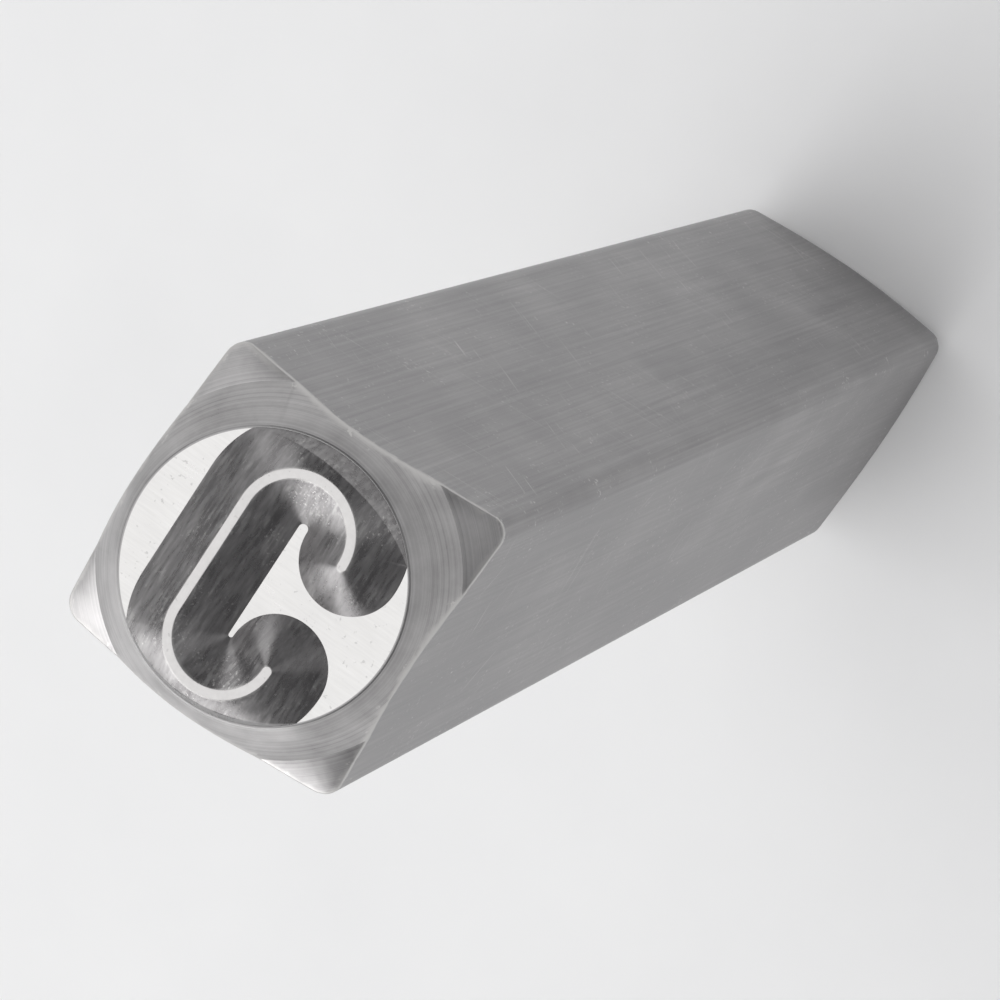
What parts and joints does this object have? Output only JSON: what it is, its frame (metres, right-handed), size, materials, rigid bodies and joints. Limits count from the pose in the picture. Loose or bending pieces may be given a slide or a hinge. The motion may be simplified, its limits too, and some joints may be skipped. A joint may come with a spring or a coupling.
{
  "type": "steel letter punch",
  "caption": "Hand letter punch: a square steel bar with a chamfered struck end and a turned neck whose round face carries a raised mirror-image capital letter.",
  "frame": {"origin": "centre of the struck end's flat, which is the bottom of the part", "axes": "+Z along the bar from the struck end to the letter, +Y towards the top of the letter, +X towards the letter's spine"},
  "size_m": [0.008, 0.008, 0.064],
  "materials": {
    "black_oxide_steel": "black oxide, with the face and the stamping edge ground bright"
  },
  "bodies": {
    "root": {"letter_punch": "black_oxide_steel"}
  },
  "joints": []
}
